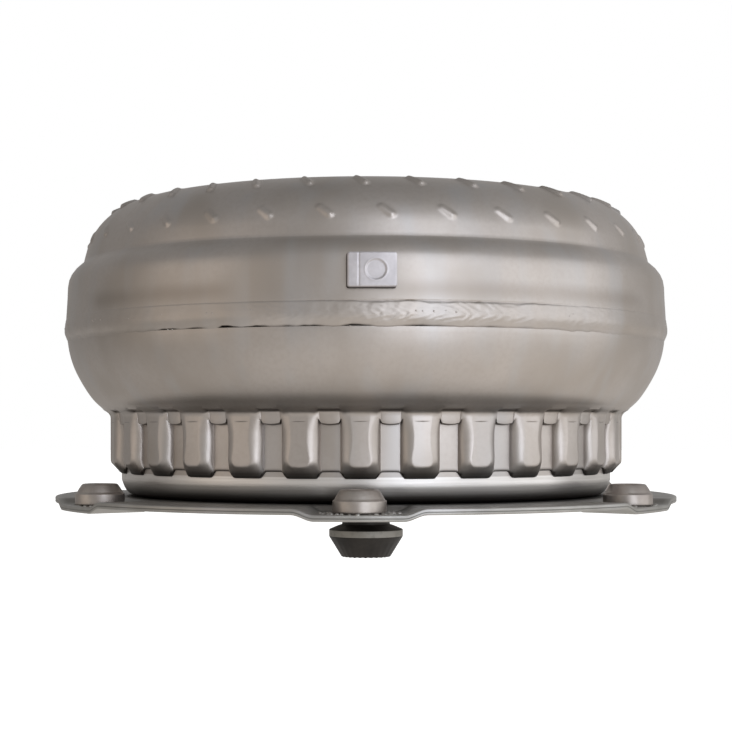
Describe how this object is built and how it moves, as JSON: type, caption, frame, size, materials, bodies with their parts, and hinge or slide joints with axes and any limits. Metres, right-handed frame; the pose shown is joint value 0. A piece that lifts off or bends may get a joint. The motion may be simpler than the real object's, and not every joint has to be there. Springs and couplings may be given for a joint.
{
  "type": "torque converter",
  "caption": "Welded lock-up torque converter: lobed front cover with bolted drive plate and pilot, torus-shaped impeller shell, turbine, stator and damper inside.",
  "frame": {"origin": "on the axis of rotation at the tip of the pilot", "axes": "+Z along the axis from the engine side to the gearbox side; -Y through the front pad of the drive plate, next to the balance weight"},
  "size_m": [0.2788, 0.2794, 0.166],
  "materials": {
    "casing_steel": "fine-blasted bare steel, warm grey satin",
    "black_steel": "black oxide, satin",
    "pressed_steel": "pressed sheet, oiled",
    "machined_steel": "fine turned",
    "hardened_steel": "ground and hardened",
    "cast_aluminium": "die cast",
    "friction_lining": "steel core faced with brown friction paper",
    "nitrile_rubber": "moulded",
    "spring_steel": "oil tempered"
  },
  "bodies": {
    "housing": {"front_cover": "casing_steel", "drive_plate": "casing_steel", "impeller_shell": "casing_steel", "seam_weld": "casing_steel", "balance_weight": "casing_steel", "pilot": "black_steel", "impeller_hub": "machined_steel", "impeller_blades": "pressed_steel", "piston_guide": "machined_steel", "backing_plate": "pressed_steel", "snap_ring": "spring_steel", "front_thrust_bearing": "hardened_steel", "rear_thrust_bearing": "hardened_steel", "weld_nut_1": "casing_steel", "weld_nut_2": "casing_steel", "weld_nut_3": "casing_steel", "weld_nut_4": "casing_steel", "weld_nut_5": "casing_steel", "weld_nut_6": "casing_steel"},
    "piston": {"apply_piston": "pressed_steel", "piston_outer_seal": "nitrile_rubber", "piston_inner_seal": "nitrile_rubber"},
    "steel": {"steel_plate": "pressed_steel"},
    "friction_front": {"friction_plate_1": "friction_lining"},
    "friction_rear": {"friction_plate_2": "friction_lining"},
    "turbine": {"turbine_shell": "pressed_steel", "turbine_blades": "pressed_steel", "turbine_hub": "machined_steel", "damper_flange": "pressed_steel", "middle_thrust_bearing": "hardened_steel"},
    "damper_carrier": {"clutch_hub": "pressed_steel", "damper_front_plate": "pressed_steel", "damper_rear_plate": "pressed_steel", "damper_spacer_ring": "pressed_steel", "damper_spring_1": "spring_steel", "damper_spring_2": "spring_steel", "damper_spring_3": "spring_steel", "damper_spring_4": "spring_steel", "damper_spring_5": "spring_steel", "damper_spring_6": "spring_steel"},
    "inner_race": {"one_way_inner_race": "hardened_steel"},
    "stator": {"stator_wheel": "cast_aluminium", "one_way_outer_race": "hardened_steel", "one_way_side_plate": "hardened_steel", "one_way_roller_1": "hardened_steel", "one_way_roller_2": "hardened_steel", "one_way_roller_3": "hardened_steel", "one_way_roller_4": "hardened_steel", "one_way_roller_5": "hardened_steel", "one_way_roller_6": "hardened_steel", "one_way_roller_7": "hardened_steel", "one_way_roller_8": "hardened_steel"}
  },
  "joints": [
    {"name": "turbine_spin", "type": "hinge", "parent": "housing", "child": "turbine", "pos_m": [0, 0, 0.1289], "axis": [0, 0, 1], "continuous": true},
    {"name": "damper_twist", "type": "hinge", "parent": "turbine", "child": "damper_carrier", "pos_m": [0, 0, 0.084], "axis": [0, 0, 1], "range_deg": [-7, 7], "stiffness_Nm_per_rad": 400},
    {"name": "piston_apply", "type": "slide", "parent": "housing", "child": "piston", "axis": [0, 0, 1], "range_m": [0, 0.0014]},
    {"name": "steel_plate_slide", "type": "slide", "parent": "housing", "child": "steel", "axis": [0, 0, 1], "range_m": [0, 0.0007]},
    {"name": "friction_front_slide", "type": "slide", "parent": "damper_carrier", "child": "friction_front", "axis": [0, 0, 1], "range_m": [0, 0.00105]},
    {"name": "friction_rear_slide", "type": "slide", "parent": "damper_carrier", "child": "friction_rear", "axis": [0, 0, 1], "range_m": [0, 0.00035]},
    {"name": "inner_race_spin", "type": "hinge", "parent": "housing", "child": "inner_race", "pos_m": [0, 0, 0.1289], "axis": [0, 0, 1], "continuous": true},
    {"name": "stator_freewheel", "type": "hinge", "parent": "inner_race", "child": "stator", "pos_m": [0, 0, 0.1289], "axis": [0, 0, 1], "continuous": true}
  ],
  "couplings": [
    {"joint": "friction_front_slide", "follows": "piston_apply", "ratio": 0.75},
    {"joint": "steel_plate_slide", "follows": "piston_apply", "ratio": 0.5},
    {"joint": "friction_rear_slide", "follows": "piston_apply", "ratio": 0.25}
  ]
}
